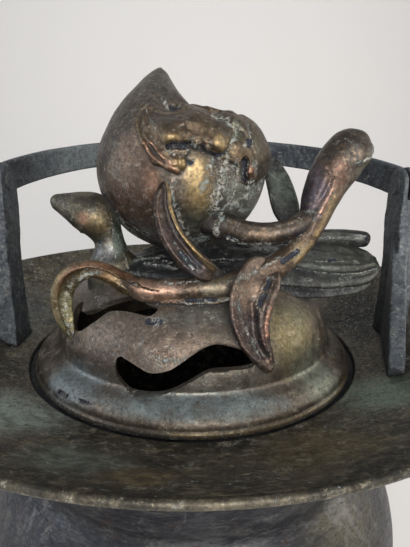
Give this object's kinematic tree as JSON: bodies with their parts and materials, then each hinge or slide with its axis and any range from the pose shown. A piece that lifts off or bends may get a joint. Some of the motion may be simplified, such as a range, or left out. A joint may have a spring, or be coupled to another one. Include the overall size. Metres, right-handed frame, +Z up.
{
  "type": "hanging incense burner",
  "caption": "Round bronze incense burner with a wide dished brim, a pierced dome lid crowned by a peach spray, and a strap bail with a hanging ring.",
  "frame": {"origin": "middle of the foot's resting face, which is also under the middle of the brim plate", "axes": "+Z up along the bowl's axis, +X along the bail's hinge towards the right post, -Y towards the viewer of the front"},
  "size_m": [0.2786, 0.2786, 0.3231],
  "materials": {
    "bowl_bronze": "cast bronze with a dark blue-grey patina and an olive-gold sheen",
    "brim_bronze": "cast bronze with a brown-olive patina and pale verdigris patches",
    "liner_copper": "spun copper, dull and sooty",
    "dome_bronze": "cast bronze, pinkish brown with grey bloom and olive-gold wear",
    "peach_bronze": "cast bronze, warm brown and satin with coppery and golden wear",
    "branch_bronze": "cast bronze, copper brown with blue-grey hollows and pale crust",
    "leaf_bronze": "cast bronze, golden brown with bright worn rims",
    "dark_leaf_bronze": "cast bronze, dark grey-green patina",
    "handle_bronze": "wrought bronze strap, dark blue-grey patina with pale crust in the corners"
  },
  "bodies": {
    "root": {"bowl": "bowl_bronze", "brim_plate": "brim_bronze", "left_post": "handle_bronze", "right_post": "handle_bronze", "left_pivot_pin": "handle_bronze", "right_pivot_pin": "handle_bronze"},
    "liner": {"ash_liner": "liner_copper"},
    "lid": {"lid_dome": "dome_bronze", "peach": "peach_bronze", "finial_stud": "handle_bronze", "finial_washer": "handle_bronze", "base_leaf": "dark_leaf_bronze", "main_branch": "branch_bronze", "peach_stalk": "branch_bronze", "drape_leaf": "leaf_bronze", "front_leaf": "leaf_bronze", "hanging_leaf": "leaf_bronze", "arched_leaf": "leaf_bronze", "bud": "branch_bronze", "rear_leaf": "dark_leaf_bronze", "curled_leaf": "dark_leaf_bronze"},
    "bail": {"bail_handle": "handle_bronze", "swivel_washer": "handle_bronze"},
    "swivel": {"swivel_eye": "handle_bronze"},
    "ring": {"hanging_ring": "handle_bronze"}
  },
  "joints": [
    {"name": "bail_swing", "type": "hinge", "parent": "root", "child": "bail", "pos_m": [0.005, 0, 0.26992], "axis": [1, 0, 0], "range_deg": [0, 158.2]},
    {"name": "lid_lift", "type": "slide", "parent": "root", "child": "lid", "axis": [0, 0, 1], "range_m": [0, 0.12]},
    {"name": "liner_lift", "type": "slide", "parent": "root", "child": "liner", "axis": [0, 0, 1], "range_m": [0, 0.012]},
    {"name": "swivel_turn", "type": "hinge", "parent": "bail", "child": "swivel", "pos_m": [0.005, 0.09672, 0.28855], "axis": [0, 0.982, 0.1891], "continuous": true},
    {"name": "ring_swing", "type": "hinge", "parent": "swivel", "child": "ring", "pos_m": [0.005, 0.109, 0.29091], "axis": [1, 0, 0], "range_deg": [-5, 206.8]}
  ]
}
